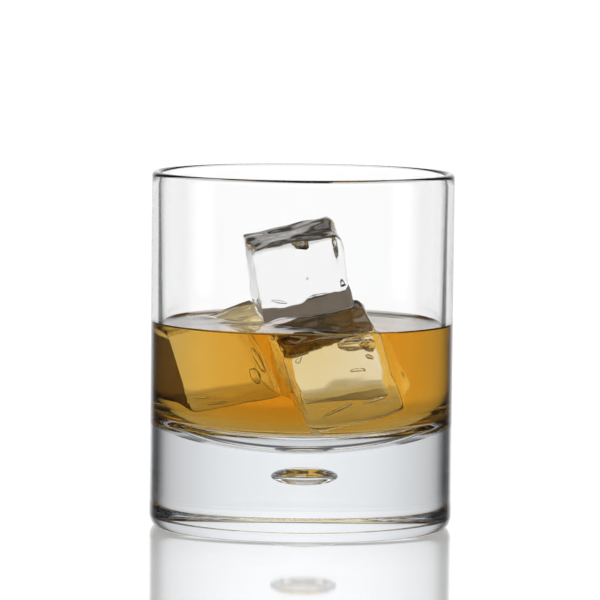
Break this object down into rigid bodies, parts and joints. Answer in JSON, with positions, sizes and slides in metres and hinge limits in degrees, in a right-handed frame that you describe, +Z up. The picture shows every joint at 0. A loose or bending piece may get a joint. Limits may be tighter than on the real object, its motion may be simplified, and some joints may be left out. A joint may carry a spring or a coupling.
{
  "type": "whiskey tumbler",
  "caption": "Straight-sided whiskey tumbler with a thick clear base that traps an air bubble, about half filled with amber whiskey and ice cubes.",
  "frame": {"origin": "middle of the foot, on the surface that the glass stands on", "axes": "+Z up along the axis of the glass; +X to the viewer's right and -Y towards the viewer, as the drink is seen in its usual view"},
  "size_m": [0.081, 0.081, 0.095],
  "materials": {
    "clear_glass": "polished",
    "whiskey": "gloss",
    "ice": "gloss"
  },
  "bodies": {
    "tumbler": {"glass_tumbler": "clear_glass", "whiskey": "whiskey"},
    "ice_front": {"ice_cube_front": "ice"},
    "ice_top": {"ice_cube_top": "ice"},
    "ice_left": {"ice_cube_left": "ice"},
    "ice_rear": {"ice_cube_rear": "ice"}
  },
  "joints": [
    {"name": "ice_front_lift", "type": "slide", "parent": "tumbler", "child": "ice_front", "axis": [0, 0, 1], "range_m": [0, 0.072], "deforming": ["whiskey"]},
    {"name": "ice_top_lift", "type": "slide", "parent": "ice_front", "child": "ice_top", "axis": [0, 0, 1], "range_m": [0, 0.044]},
    {"name": "ice_left_lift", "type": "slide", "parent": "tumbler", "child": "ice_left", "axis": [0, 0, 1], "range_m": [0, 0.069], "deforming": ["whiskey"]},
    {"name": "ice_rear_lift", "type": "slide", "parent": "tumbler", "child": "ice_rear", "axis": [0, 0, 1], "range_m": [0, 0.069], "deforming": ["whiskey"]}
  ]
}
